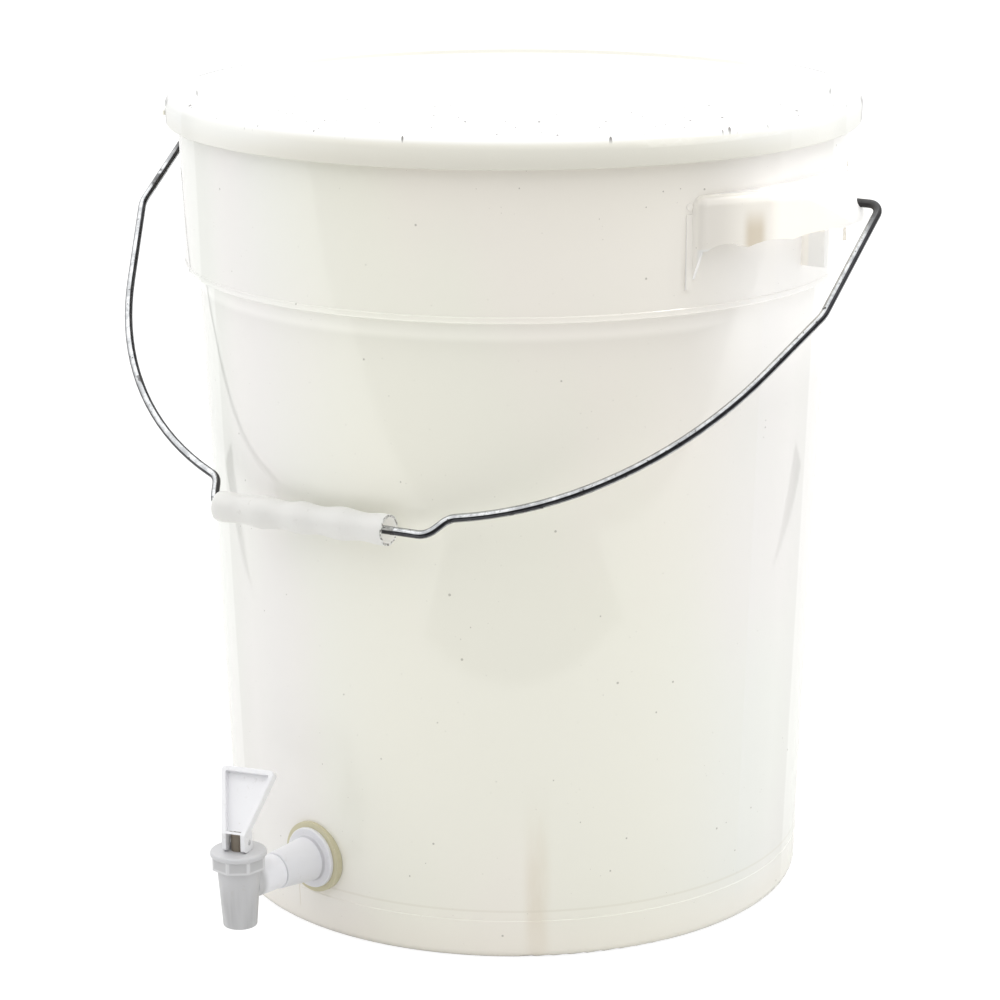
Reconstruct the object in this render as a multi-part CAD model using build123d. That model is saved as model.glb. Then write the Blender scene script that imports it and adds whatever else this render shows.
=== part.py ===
from build123d import *
from math import acos, atan2, cos, hypot, radians, sin
import os

# Plastic fermenting bucket with a press-on lid, a wire bail and a self-closing lever tap.
# Units are millimetres and +Z is up. The origin is the centre of the foot, on the ground, and the tap
# faces -Y. Every separate piece is written to parts/ as its own STEP file.

# Pail: one moulding with a tapered wall, a hollow collar (the apron) and two side ears.
FOOT_RADIUS = 144.8
LEDGE_HEIGHT = 314.8
LEDGE_WALL_RADIUS = 156.8
WALL = 2.3
FLOOR_TOP = 5.0
FOOT_GROOVE_RADIUS = 131.0
FOOT_GROOVE_WIDTH = 6.0
FOOT_GROOVE_DEPTH = 1.2
HEEL_HEIGHT = 19.4
HEEL_STEP = 0.25
RIM_HEIGHT = 396.0
APRON_LOW_RADIUS = 162.8
APRON_TOP_RADIUS = 165.2
APRON_WALL = 2.0
APRON_LIP_HEIGHT = 2.7
APRON_LIP_STEP = 0.5
APRON_ROOT = 390.0
SNAP_RADIUS = 166.9
SNAP_LOW = 391.2
SNAP_HIGH = 393.0

# Ears: curved hollow hand grips on the apron, with the bail wire hooked through their noses.
EAR_TURN = 8.0
EAR_REACH = 195.0
EAR_NOSE_RADIUS = 50.0
EAR_HALF_WIDTH = 72.0
EAR_TOP = 369.3
EAR_TIP = 331.0
EAR_SKIN = 2.5
EAR_TOP_ROUND = 18.0
EAR_FLANK_ROUND = 5.0
EAR_END_TURN = 26.0
EAR_END_DEPTH = 4.0
EAR_END_ROUND = 6.0
EAR_BACK = 120.0
EAR_FADE_TURN = 10.0
EAR_FADE_RUN = 100.0
EAR_ROOT_RUN = 1.4
SCALLOP_TIPS = [(15.0, 350.4), (38.0, 347.4), (55.5, 345.0)]
SCALLOP_DEPTH = 1.6
FAR_SHOULDER = (66.0, 343.5)
TAIL_SHOULDER = (-66.0, 346.9)
TAIL_NOTCH = (-71.3, 344.3)
TAIL_TIP_REACH = 147.0
TAIL_TOP_REACH = 151.5
WEB_REACH = 175.5
WEB_ROOT = 150.0
WEB_LOW = 328.0
WEB_THICKNESS = 3.0
END_RIB_TURN = 27.2
END_RIB_WIDTH = 3.0
END_RIB_STEP = 0.9
END_RIB_LOW = 326.5
END_RIB_HIGH = 361.0
END_MARK_HEIGHT = 364.5
END_MARK_RADIUS = 1.6
END_MARK_STEP = 0.4
BOSS_RADIUS = 5.0
BOSS_FACE = 187.4

# Bail: 4 mm wire with a moulded grip. Its plane leans out over the tap side at rest.
PIVOT_HEIGHT = 360.0
WIRE_RADIUS = 2.0
WIRE_HOLE_CLEARANCE = 0.08
BAIL_LEAN = 48.5
WIRE_HEAD_RADIUS = 3.2
WIRE_HEAD_LENGTH = 2.0
WIRE_HEAD_INSET = 182.0
RIGHT_SPREAD = 204.0
LEFT_SPREAD = 209.0
RIGHT_BEND = (201.5, 66.0)
LEFT_BEND = (211.0, 48.0)
RIGHT_BOW_CORNER = (155.8, 182.0)
RIGHT_BOW_RADIUS = 169.0
LEFT_BOW_CORNER = (153.3, 174.3)
LEFT_BOW_RADIUS = 196.0
KINK_OUTER = (67.0, 204.0)
KINK_INNER_OFFSET = 60.0
LEFT_KINK_SHIFT = 2.0
RIGHT_RUN_DROP = 215.0
LEFT_RUN_DROP = 219.5
EYE_BEND_RADIUS = 6.0
LEG_BEND_RADIUS = 14.0
KINK_RADIUS = 9.0
GRIP_LENGTH = 97.5
GRIP_CENTRE_SHIFT = -9.4
GRIP_WALL = 1.1
GRIP_PROFILE = [(1.0, 7.2), (0.9, 7.4), (0.72, 6.65), (0.46, 7.85), (0.185, 6.7)]
GRIP_LOBE_RADIUS = 7.8

# Lid: press-on, with a raised rim channel, a recessed panel and one pull tab.
LID_TOP = 400.0
LID_RADIUS = 171.2
LID_SKIRT_BOTTOM = 385.5
LID_WALL = 1.8
LID_TOP_ROUND = 6.0
LID_SKIRT_DRAFT = 0.6
LID_BEAD_HEIGHT = 390.6
LID_BEAD_DEPTH = 2.3
LID_CEILING = 398.0
PLUG_RADIUS = 156.7
PLUG_WALL = 2.1
PLUG_BOTTOM = 388.0
PANEL_TOP = 397.0
PANEL_THICKNESS = 2.0
PULL_TAB_ANGLE = -136.0
PULL_TAB_REACH = 181.7
PULL_TAB_WIDTH = 15.0
PULL_TAB_THICKNESS = 2.2
THUMB_RECESS_TOP = 397.0
THUMB_RECESS_DEPTH = 1.9
THUMB_RECESS_WIDTH = 20.0
SEAL_INNER_RADIUS = 159.4
SEAL_OUTER_RADIUS = 164.0

# Tap: shank through the wall on a horizontal axis, and a vertical barrel with a lever on top.
TAP_HEIGHT = 39.0
HOLE_RADIUS = 11.2
THREAD_RADIUS = 11.0
THREAD_PITCH = 2.5
THREAD_DEPTH = 0.8
SHANK_BORE = 5.5
SHANK_INNER_END = 126.0
FLANGE_FACE = 148.6
FLANGE_THICKNESS = 2.0
FLANGE_RADIUS = 15.0
SLEEVE_END = 173.0
SLEEVE_ROOT_RADIUS = 11.0
SLEEVE_END_RADIUS = 9.0
SOCKET_RADIUS = 7.0
SOCKET_DEPTH = 7.0
OUTER_GASKET_RADIUS = 17.6
INNER_GASKET_RADIUS = 17.0
GASKET_BORE = 11.1
NUT_FACE = 139.6
NUT_THICKNESS = 8.0
NUT_ACROSS_FLATS = 32.0
BARREL_DISTANCE = 197.0
SPOUT_BOTTOM = 19.0
SPOUT_RADIUS = 8.1
OUTLET_RADIUS = 6.3
OUTLET_TOP = 27.0
SEAT_RADIUS = 4.6
SEAT_TOP = 29.0
CHAMBER_RADIUS = 7.6
BARREL_SHOULDER = 48.5
BARREL_SHOULDER_RADIUS = 10.4
NECK_RADIUS = 9.45
NECK_TOP = 53.4
ARM_RADIUS = 8.4
ARM_BORE = 5.0
SPIGOT_RADIUS = 6.9
ORING_SECTION = 0.9
ORING_CENTRE_RADIUS = 6.1
ORING_DISTANCE = 169.5
BONNET_TOP = 57.0
BONNET_RADIUS = 13.5
BONNET_RIM = 2.4
BONNET_FLATS = 24.6
BONNET_BORE = 9.5
BONNET_CEILING = 54.8
STEM_RADIUS = 3.4
STEM_HOLE_CLEARANCE = 0.06
STEM_TOP = 65.4
STEM_COLLAR_RADIUS = 4.8
STEM_COLLAR_TOP = 34.2
STEM_FOOT_RADIUS = 3.6
STEM_FOOT = 30.7
STEM_COLLAR_BOTTOM = 33.0
SPRING_RADIUS = 4.3
SPRING_WIRE = 0.4
SPRING_TURNS = 9

# Lever: a fork on the stem's cross pin, with a cam heel that lifts the stem as it tilts.
PIN_HEIGHT = 61.2
PIN_RADIUS = 1.4
PIN_HOLE_CLEARANCE = 0.05
LEVER_SWIVEL = 22.0
LEVER_LEAN = 35.0
LEVER_TRAVEL = 45.0
HEEL_GAP = 0.05
CAM_RISE = 2.2
FORK_HALF_WIDTH = 5.9
SLOT_HALF_WIDTH = 3.8
SLOT_TOP = 5.5
FORK_BACK = 3.2
PADDLE_LENGTH = 33.0
PADDLE_FOOT_HALF_WIDTH = 6.1
PADDLE_TOP_HALF_WIDTH = 14.1
PADDLE_DEPTH = 5.0
PADDLE_RIM = 2.4
PADDLE_RECESS = 3.2
PADDLE_FOOT_RIM = 1.2
PADDLE_CORNER = 2.0

BIG = 400.0


def wall_radius(height):
    """Outer radius of the pail's tapered wall at a height."""
    return FOOT_RADIUS + (LEDGE_WALL_RADIUS - FOOT_RADIUS) * height / LEDGE_HEIGHT


def apron_radius(height):
    """Outer radius of the apron at a height."""
    share = (height - LEDGE_HEIGHT) / (RIM_HEIGHT - LEDGE_HEIGHT)
    return APRON_LOW_RADIUS + (APRON_TOP_RADIUS - APRON_LOW_RADIUS) * share


def turned(corners):
    """Solid of revolution about Z. Each corner is (radius, height) or (radius, height, rounding)."""
    points = [(corner[0], corner[1]) for corner in corners]
    rounds = [corner[2] if len(corner) == 3 else 0 for corner in corners]
    outline = FilletPolyline(*points, radius=rounds, close=True)
    return revolve(Plane.XZ * make_face(outline), Axis.Z)


def ring(outer, inner, low, high):
    """Plain ring about Z between two heights."""
    return turned([(inner, low), (outer, low), (outer, high), (inner, high)])


def rod(radius, low, high):
    """Plain round bar on Z between two heights."""
    return Pos(0, 0, low) * Cylinder(radius, high - low, align=(Align.CENTER, Align.CENTER, Align.MIN))


def on_tap_axis(shape):
    """Lay a shape built on Z along the shank's axis, so that its height becomes distance from Z."""
    return Pos(0, 0, TAP_HEIGHT) * Rot(90, 0, 0) * shape


def on_barrel(shape):
    """Move a shape built on Z to the tap's barrel axis."""
    return Pos(0, -BARREL_DISTANCE, 0) * shape


def cone_inside(offset):
    """Solid that fills the pail's wall cone, offset outwards from the outer face."""
    return turned([(0, 0), (wall_radius(0) + offset, 0),
                   (wall_radius(LEDGE_HEIGHT) + offset, LEDGE_HEIGHT), (0, LEDGE_HEIGHT)])


def pail_shell():
    """The pail without its ears: grooved foot, wall, hollow apron and rim with a snap bead."""
    lip_top = LEDGE_HEIGHT + APRON_LIP_HEIGHT
    corners = [
        (0, 0),
        (FOOT_GROOVE_RADIUS - FOOT_GROOVE_WIDTH, 0),
        (FOOT_GROOVE_RADIUS - FOOT_GROOVE_WIDTH, FOOT_GROOVE_DEPTH, 0.5),
        (FOOT_GROOVE_RADIUS, FOOT_GROOVE_DEPTH, 0.5),
        (FOOT_GROOVE_RADIUS, 0),
        (wall_radius(0) + HEEL_STEP, 0, 4.0),
        (wall_radius(HEEL_HEIGHT) + HEEL_STEP, HEEL_HEIGHT),
        (wall_radius(HEEL_HEIGHT + HEEL_STEP), HEEL_HEIGHT + HEEL_STEP),
        (wall_radius(APRON_ROOT), APRON_ROOT, 1.5),
        (apron_radius(APRON_ROOT) - APRON_WALL, APRON_ROOT, 1.5),
        (apron_radius(LEDGE_HEIGHT) - APRON_WALL, LEDGE_HEIGHT, 0.5),
        (apron_radius(LEDGE_HEIGHT) + APRON_LIP_STEP, LEDGE_HEIGHT, 1.0),
        (apron_radius(lip_top) + APRON_LIP_STEP, lip_top, 0.4),
        (apron_radius(lip_top + APRON_LIP_STEP), lip_top + APRON_LIP_STEP),
        (apron_radius(SNAP_LOW - 2.0), SNAP_LOW - 2.0),
        (SNAP_RADIUS, SNAP_LOW, 0.5),
        (SNAP_RADIUS, SNAP_HIGH, 0.8),
        (apron_radius(RIM_HEIGHT) - 0.8, RIM_HEIGHT, 1.0),
        (wall_radius(RIM_HEIGHT) - WALL, RIM_HEIGHT, 0.8),
        (wall_radius(FLOOR_TOP) - WALL, FLOOR_TOP, 6.0),
        (0, FLOOR_TOP),
    ]
    return turned(corners)


def scallop_cutter():
    """Everything under the ear's scalloped finger edge and in front of its blunt end's narrow tail."""
    tips = [(-tip[0], tip[1]) for tip in reversed(SCALLOP_TIPS)] + SCALLOP_TIPS
    edges = []
    for start, end in zip(tips, tips[1:]):
        crest = ((start[0] + end[0]) / 2, (start[1] + end[1]) / 2 + SCALLOP_DEPTH)
        edges.append(ThreePointArc(start, crest, end))
    far_end = (EAR_HALF_WIDTH, EAR_TIP)
    edges.append(ThreePointArc(tips[-1], FAR_SHOULDER, far_end))
    edges.append(Polyline(far_end, (BIG, EAR_TIP), (BIG, 0), (TAIL_NOTCH[0], 0), TAIL_NOTCH))
    edges.append(ThreePointArc(TAIL_NOTCH, TAIL_SHOULDER, tips[0]))
    scallops = extrude(Plane.YZ * make_face(edges), BIG)
    slant = Polyline((TAIL_TIP_REACH, 0), (TAIL_TIP_REACH, EAR_TIP), (TAIL_TOP_REACH, TAIL_NOTCH[1]),
                     (BIG, TAIL_NOTCH[1]), (BIG, 0), close=True)
    return scallops + extrude(Plane.XZ * make_face(slant), BIG, both=True)


def touch_point(corner, centre, radius):
    """Where a line from the corner touches a circle centred on X. The corner is on the -Y side."""
    run = (corner[0] - centre, corner[1])
    turn = atan2(run[1], run[0]) + acos(radius / hypot(*run))
    return (centre + radius * cos(turn), radius * sin(turn))


def ear_form(near_side, inset, rounding):
    """Upright block with the ear's round nose and a rounded top edge, on the +X side.

    near_side is the plan's outline on the -Y side, from the back to where the nose's arc starts.
    """
    middle = EAR_REACH - EAR_NOSE_RADIUS
    nose = EAR_NOSE_RADIUS - inset
    foot = ((apron_radius(EAR_TOP) ** 2 - EAR_HALF_WIDTH ** 2) ** 0.5, -EAR_HALF_WIDTH)
    touch = touch_point(foot, middle, EAR_NOSE_RADIUS)
    share = nose / EAR_NOSE_RADIUS
    far_touch = (middle + (touch[0] - middle) * share, -touch[1] * share)
    run = (EAR_ROOT_RUN * (foot[0] - touch[0]), EAR_ROOT_RUN * (foot[1] - touch[1]))
    far_root = (far_touch[0] + run[0], far_touch[1] - run[1])
    outline = [
        near_side,
        ThreePointArc(near_side @ 1, (middle + nose, 0), far_touch),
        Polyline(far_touch, far_root, (EAR_BACK, far_root[1]), near_side @ 0),
    ]
    block = extrude(Pos(0, 0, EAR_TIP - inset) * make_face(outline), EAR_TOP - EAR_TIP)
    top_edges = block.edges().group_by(Axis.Z)[-1]
    fade_end = -EAR_FADE_RUN * 0.9
    rim = [edge for edge in top_edges if edge.center().X > far_root[0] and edge.center().Y > fade_end]
    return fillet(rim, rounding - inset)


def ear_block(inset):
    """The ear's solid form, shrunk by an inset: a blunt near end, a round nose and a fading far side."""
    middle = EAR_REACH - EAR_NOSE_RADIUS
    nose = EAR_NOSE_RADIUS - inset
    end = radians(EAR_END_TURN)
    reach = apron_radius(EAR_TOP) + EAR_END_DEPTH
    corner = (reach * cos(end) - inset, -reach * sin(end) + inset)
    flank_side = FilletPolyline((EAR_BACK, corner[1]), corner, touch_point(corner, middle, nose),
                                radius=EAR_END_ROUND - inset)
    fade = radians(EAR_FADE_TURN)
    start = (middle + nose * cos(fade), -nose * sin(fade))
    wide = (start[0] - EAR_FADE_RUN * sin(fade), start[1] - EAR_FADE_RUN * cos(fade))
    fade_side = Polyline((EAR_BACK, wide[1]), wide, start)
    return ear_form(flank_side, inset, EAR_FLANK_ROUND) & ear_form(fade_side, inset, EAR_TOP_ROUND)


def end_rib():
    """Thin upright rib on the apron where an ear's flank ends, with a small round mark above it."""
    middle = (END_RIB_LOW + END_RIB_HIGH) / 2
    depth = 2 * (END_RIB_STEP + APRON_WALL / 2)
    rib = Box(depth, END_RIB_WIDTH, END_RIB_HIGH - END_RIB_LOW)
    rib = Pos(apron_radius(middle) - APRON_WALL / 2, 0, middle) * rib
    mark = Pos(apron_radius(END_MARK_HEIGHT), 0, END_MARK_HEIGHT) * Rot(0, 90, 0)
    mark = mark * rod(END_MARK_RADIUS, -APRON_WALL / 2, END_MARK_STEP)
    return rib + mark


def ear():
    """One ear on the +X side: hollow skin, one middle web, two end ribs and the wire's boss."""
    block = ear_block(0)
    skin = block - ear_block(EAR_SKIN) - scallop_cutter()
    web_high = EAR_TOP - 1
    outline = Polyline((WEB_ROOT, web_high), (WEB_REACH, web_high), (WEB_REACH, WEB_LOW), (WEB_ROOT, WEB_LOW),
                       close=True)
    web = extrude(Plane.XZ * make_face(outline), WEB_THICKNESS / 2, both=True)
    boss = Pos(BOSS_FACE, 0, PIVOT_HEIGHT) * Rot(0, 90, 0) * rod(BOSS_RADIUS, 0, EAR_REACH - BOSS_FACE)
    solid = skin + web + (boss & block)
    for side in (-1, 1):
        solid += Rot(0, 0, side * END_RIB_TURN) * end_rib()
    core_low = apron_radius(LEDGE_HEIGHT) - APRON_WALL / 2
    core_high = apron_radius(RIM_HEIGHT) - APRON_WALL / 2
    core = turned([(0, LEDGE_HEIGHT), (core_low, LEDGE_HEIGHT), (core_high, RIM_HEIGHT), (0, RIM_HEIGHT)])
    hole_radius = WIRE_RADIUS + WIRE_HOLE_CLEARANCE
    hole = Pos(0, 0, PIVOT_HEIGHT) * Rot(0, 90, 0) * rod(hole_radius, EAR_REACH - 20, EAR_REACH + 5)
    return solid - core - hole


def bucket():
    """The pail with both ears and the hole for the tap."""
    solid = pail_shell()
    for half_turn in (0, 180):
        solid += Rot(0, 0, EAR_TURN + half_turn) * ear()
    return solid - on_tap_axis(rod(HOLE_RADIUS, FOOT_RADIUS - 20, FOOT_RADIUS + 20))


def pull_tab():
    """Flat tab on the lid's skirt with rounded outer corners."""
    root = LID_RADIUS - 2.0
    outline = FilletPolyline((root, -PULL_TAB_WIDTH / 2), (PULL_TAB_REACH, -PULL_TAB_WIDTH / 2),
                             (PULL_TAB_REACH, PULL_TAB_WIDTH / 2), (root, PULL_TAB_WIDTH / 2),
                             radius=[0, 4.5, 4.5, 0], close=True)
    plate = extrude(make_face(outline), PULL_TAB_THICKNESS)
    return Rot(0, 0, PULL_TAB_ANGLE) * Pos(0, 0, LID_BEAD_HEIGHT - PULL_TAB_THICKNESS) * plate


def thumb_recess():
    """The slanted hollow cut into the lid's skirt just above the pull tab."""
    clear = LID_RADIUS + 1
    deep = LID_RADIUS - THUMB_RECESS_DEPTH
    profile = Polyline((clear, THUMB_RECESS_TOP), (LID_RADIUS, THUMB_RECESS_TOP),
                       (deep, LID_BEAD_HEIGHT), (clear, LID_BEAD_HEIGHT), close=True)
    cut = extrude(Plane.XZ * make_face(profile), THUMB_RECESS_WIDTH / 2, both=True)
    return Rot(0, 0, PULL_TAB_ANGLE) * cut


def lid():
    """The lid: outer skirt with an inner snap bead, rim channel, plug wall and recessed panel."""
    inner = LID_RADIUS - LID_WALL
    foot = LID_RADIUS - LID_SKIRT_DRAFT
    corners = [
        (LID_RADIUS, LID_TOP, LID_TOP_ROUND),
        (foot, LID_SKIRT_BOTTOM, 0.7),
        (foot - LID_WALL, LID_SKIRT_BOTTOM, 0.5),
        (inner, LID_BEAD_HEIGHT - 2.6),
        (inner - LID_BEAD_DEPTH, LID_BEAD_HEIGHT, 0.8),
        (inner, LID_BEAD_HEIGHT + 3.0),
        (inner, LID_CEILING, 2.5),
        (PLUG_RADIUS, LID_CEILING, 0.5),
        (PLUG_RADIUS, PLUG_BOTTOM, 0.6),
        (PLUG_RADIUS - PLUG_WALL, PLUG_BOTTOM, 0.6),
        (PLUG_RADIUS - PLUG_WALL, PANEL_TOP - PANEL_THICKNESS, 1.0),
        (0, PANEL_TOP - PANEL_THICKNESS),
        (0, PANEL_TOP),
        (PLUG_RADIUS - PLUG_WALL, PANEL_TOP, 1.5),
        (PLUG_RADIUS - PLUG_WALL + 1.2, LID_TOP, 1.2),
    ]
    return turned(corners) + pull_tab() - thumb_recess()


def lid_gasket():
    """Soft ring between the lid's channel and the pail's rim."""
    return ring(SEAL_OUTER_RADIUS, SEAL_INNER_RADIUS, RIM_HEIGHT, LID_CEILING)


def bail_place(shape):
    """Put a shape from the bail's own plane (X across, -Y down the legs) at its rest lean."""
    return Rot(0, 0, EAR_TURN) * Pos(0, 0, PIVOT_HEIGHT) * Rot(90 - BAIL_LEAN, 0, 0) * shape


def bail_wire():
    """The wire: headed ends through the ears, two legs, a bow and an offset centre run."""
    points = [
        (WIRE_HEAD_INSET, 0),
        (RIGHT_SPREAD, 0),
        (RIGHT_BEND[0], -RIGHT_BEND[1]),
        (RIGHT_BOW_CORNER[0], -RIGHT_BOW_CORNER[1]),
        (KINK_OUTER[0], -KINK_OUTER[1]),
        (KINK_INNER_OFFSET, -RIGHT_RUN_DROP),
        (-KINK_INNER_OFFSET - LEFT_KINK_SHIFT, -LEFT_RUN_DROP),
        (-KINK_OUTER[0] - LEFT_KINK_SHIFT, -KINK_OUTER[1]),
        (-LEFT_BOW_CORNER[0], -LEFT_BOW_CORNER[1]),
        (-LEFT_BEND[0], -LEFT_BEND[1]),
        (-LEFT_SPREAD, 0),
        (-WIRE_HEAD_INSET, 0),
    ]
    bends = [EYE_BEND_RADIUS, LEG_BEND_RADIUS, RIGHT_BOW_RADIUS, KINK_RADIUS, KINK_RADIUS,
             KINK_RADIUS, KINK_RADIUS, LEFT_BOW_RADIUS, LEG_BEND_RADIUS, EYE_BEND_RADIUS]
    path = FilletPolyline(*points, radius=bends)
    section = Plane(origin=path @ 0, z_dir=path % 0) * Circle(WIRE_RADIUS)
    solid = sweep(section, path=path)
    for side in (-1, 1):
        head = rod(WIRE_HEAD_RADIUS, WIRE_HEAD_INSET, WIRE_HEAD_INSET + WIRE_HEAD_LENGTH)
        head = Rot(0, 90 * side, 0) * head
        solid += head
    return bail_place(solid)


def grip_curve(inset):
    """The grip's profile from its lower end to its upper end, shrunk by an inset."""
    half = GRIP_LENGTH / 2
    lower = [(radius - inset, -share * half) for share, radius in GRIP_PROFILE]
    upper = [(radius - inset, share * half) for share, radius in reversed(GRIP_PROFILE)]
    return Spline(*lower, (GRIP_LOBE_RADIUS - inset, 0), *upper)


def bail_grip():
    """Thin-walled moulded grip: flared ends, two long bulges and a short middle lobe."""
    outer = grip_curve(0)
    inner = grip_curve(GRIP_WALL)
    edges = [outer, Line(outer @ 1, inner @ 1), inner, Line(inner @ 0, outer @ 0)]
    solid = revolve(Plane.XZ * make_face(edges), Axis.Z)
    right = Vector(KINK_INNER_OFFSET, -RIGHT_RUN_DROP, 0)
    left = Vector(-KINK_INNER_OFFSET - LEFT_KINK_SHIFT, -LEFT_RUN_DROP, 0)
    along = (right - left).normalized()
    centre = (right + left) * 0.5 + along * (GRIP_CENTRE_SHIFT + LEFT_KINK_SHIFT / 2)
    return bail_place(Plane(origin=centre, z_dir=along) * solid)


def tap_shank():
    """Threaded tube through the wall, with the outer flange and the sleeve that takes the tap's arm."""
    flange_front = FLANGE_FACE + FLANGE_THICKNESS
    turns = int((FLANGE_FACE - 3 - SHANK_INNER_END) / THREAD_PITCH)
    corners = [(SHANK_BORE, SHANK_INNER_END)]
    for turn in range(turns):
        start = SHANK_INNER_END + turn * THREAD_PITCH
        corners.append((THREAD_RADIUS - THREAD_DEPTH, start))
        corners.append((THREAD_RADIUS, start + THREAD_PITCH / 2))
    corners += [
        (THREAD_RADIUS - THREAD_DEPTH, SHANK_INNER_END + turns * THREAD_PITCH),
        (THREAD_RADIUS, SHANK_INNER_END + turns * THREAD_PITCH + THREAD_PITCH / 2),
        (THREAD_RADIUS, FLANGE_FACE),
        (FLANGE_RADIUS, FLANGE_FACE, 0.4),
        (FLANGE_RADIUS, flange_front, 0.6),
        (SLEEVE_ROOT_RADIUS, flange_front, 1.0),
        (SLEEVE_END_RADIUS, SLEEVE_END, 0.6),
        (SOCKET_RADIUS, SLEEVE_END),
        (SOCKET_RADIUS, SLEEVE_END - SOCKET_DEPTH),
        (SHANK_BORE, SLEEVE_END - SOCKET_DEPTH),
    ]
    return on_tap_axis(turned(corners))


def outer_gasket():
    """Soft washer between the flange and the curved wall, shaped to the wall."""
    washer = on_tap_axis(ring(OUTER_GASKET_RADIUS, GASKET_BORE, FOOT_RADIUS - 8, FLANGE_FACE))
    return washer - cone_inside(0)


def inner_gasket():
    """Soft washer between the wall's inner face and the lock nut."""
    washer = on_tap_axis(ring(INNER_GASKET_RADIUS, GASKET_BORE, NUT_FACE, FOOT_RADIUS + 8))
    return washer & cone_inside(-WALL)


def lock_nut():
    """Hexagonal nut on the shank inside the pail."""
    hexagon = RegularPolygon(NUT_ACROSS_FLATS / 2, 6, major_radius=False)
    blank = Pos(0, 0, NUT_FACE - NUT_THICKNESS) * extrude(hexagon, NUT_THICKNESS)
    blank = chamfer(blank.edges().group_by(Axis.Z)[0], 1.0)
    return on_tap_axis(blank - rod(THREAD_RADIUS + 0.05, NUT_FACE - NUT_THICKNESS - 1, NUT_FACE + 1))


def tap_body():
    """Tapered barrel and spout with a valve seat, and the side arm that plugs into the shank."""
    outside = turned([
        (0, SPOUT_BOTTOM), (SPOUT_RADIUS, SPOUT_BOTTOM, 0.6), (BARREL_SHOULDER_RADIUS, BARREL_SHOULDER, 0.5),
        (NECK_RADIUS, BARREL_SHOULDER), (NECK_RADIUS, NECK_TOP, 0.4), (0, NECK_TOP)])
    arm_start = BARREL_DISTANCE - BARREL_SHOULDER_RADIUS / 2
    groove_low = ORING_DISTANCE - 1.1
    groove_high = ORING_DISTANCE + 1.1
    spigot_end = SLEEVE_END - SOCKET_DEPTH + 0.3
    groove_radius = ORING_CENTRE_RADIUS - ORING_SECTION
    arm = turned([
        (0, spigot_end), (SPIGOT_RADIUS, spigot_end, 0.3), (SPIGOT_RADIUS, groove_low),
        (groove_radius, groove_low), (groove_radius, groove_high), (SPIGOT_RADIUS, groove_high),
        (SPIGOT_RADIUS, SLEEVE_END + 0.1), (ARM_RADIUS, SLEEVE_END + 0.1, 0.5), (ARM_RADIUS, arm_start),
        (0, arm_start)])
    inside = turned([
        (0, SPOUT_BOTTOM - 1), (OUTLET_RADIUS, SPOUT_BOTTOM - 1), (OUTLET_RADIUS, OUTLET_TOP),
        (SEAT_RADIUS, OUTLET_TOP), (SEAT_RADIUS, SEAT_TOP), (CHAMBER_RADIUS, SEAT_TOP),
        (CHAMBER_RADIUS, NECK_TOP + 1), (0, NECK_TOP + 1)])
    solid = on_barrel(outside) + on_tap_axis(arm)
    return solid - on_barrel(inside) - on_tap_axis(rod(ARM_BORE, spigot_end - 1, BARREL_DISTANCE))


def tap_oring():
    """O-ring on the arm's spigot."""
    return on_tap_axis(Pos(0, 0, ORING_DISTANCE) * Torus(ORING_CENTRE_RADIUS, ORING_SECTION))


def tap_bonnet():
    """Screw cap of the barrel: round rim, eight flats and a central hole for the stem."""
    skirt_top = BONNET_TOP - BONNET_RIM
    octagon = RegularPolygon(BONNET_FLATS / 2, 8, major_radius=False, rotation=22.5)
    skirt = Pos(0, 0, BARREL_SHOULDER + 0.1) * extrude(octagon, skirt_top - BARREL_SHOULDER)
    cap = turned([(0, skirt_top), (BONNET_RADIUS, skirt_top, 0.4), (BONNET_RADIUS, BONNET_TOP, 1.0), (0, BONNET_TOP)])
    solid = skirt + cap
    solid -= rod(BONNET_BORE, BARREL_SHOULDER - 1, BONNET_CEILING)
    solid -= rod(STEM_RADIUS + STEM_HOLE_CLEARANCE, BARREL_SHOULDER, BONNET_TOP + 1)
    return on_barrel(solid)


def tap_stem():
    """Stem: a foot in the seat cup, a collar under the spring, and a drilled top for the pin."""
    solid = turned([
        (0, STEM_FOOT), (STEM_FOOT_RADIUS, STEM_FOOT, 0.4), (STEM_FOOT_RADIUS, STEM_COLLAR_BOTTOM),
        (STEM_COLLAR_RADIUS, STEM_COLLAR_BOTTOM), (STEM_COLLAR_RADIUS, STEM_COLLAR_TOP),
        (STEM_RADIUS, STEM_COLLAR_TOP), (STEM_RADIUS, STEM_TOP, 0.8), (0, STEM_TOP)])
    hole = Pos(0, 0, PIN_HEIGHT) * Rot(0, 90, 0) * rod(PIN_RADIUS, -BIG / 8, BIG / 8)
    return on_barrel(Rot(0, 0, LEVER_SWIVEL) * (solid - hole))


def tap_seat_cup():
    """Silicone bell that shuts on the seat. Its rim is clamped between the barrel and the bonnet."""
    return on_barrel(turned([
        (0, SEAT_TOP), (6.5, SEAT_TOP, 0.6), (6.7, 31.0, 0.5), (6.4, 33.5), (6.4, 44.0, 4.0),
        (7.4, 50.0, 3.0), (7.4, NECK_TOP), (9.2, NECK_TOP), (9.2, BONNET_CEILING), (6.2, BONNET_CEILING),
        (6.2, 50.0, 3.0), (5.1, 44.0, 4.0), (5.0, STEM_COLLAR_BOTTOM), (3.7, STEM_COLLAR_BOTTOM),
        (3.7, STEM_FOOT - 0.05), (0, STEM_FOOT - 0.05)]))


def tap_spring():
    """Return spring between the stem's collar and the bonnet."""
    low = STEM_COLLAR_TOP + SPRING_WIRE + 0.02
    height = BONNET_CEILING - SPRING_WIRE - 0.02 - low
    path = Helix(pitch=height / SPRING_TURNS, height=height, radius=SPRING_RADIUS, center=(0, 0, low))
    section = Plane(origin=path @ 0, z_dir=path % 0) * Circle(SPRING_WIRE)
    return on_barrel(sweep(section, path=path, is_frenet=True))


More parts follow.
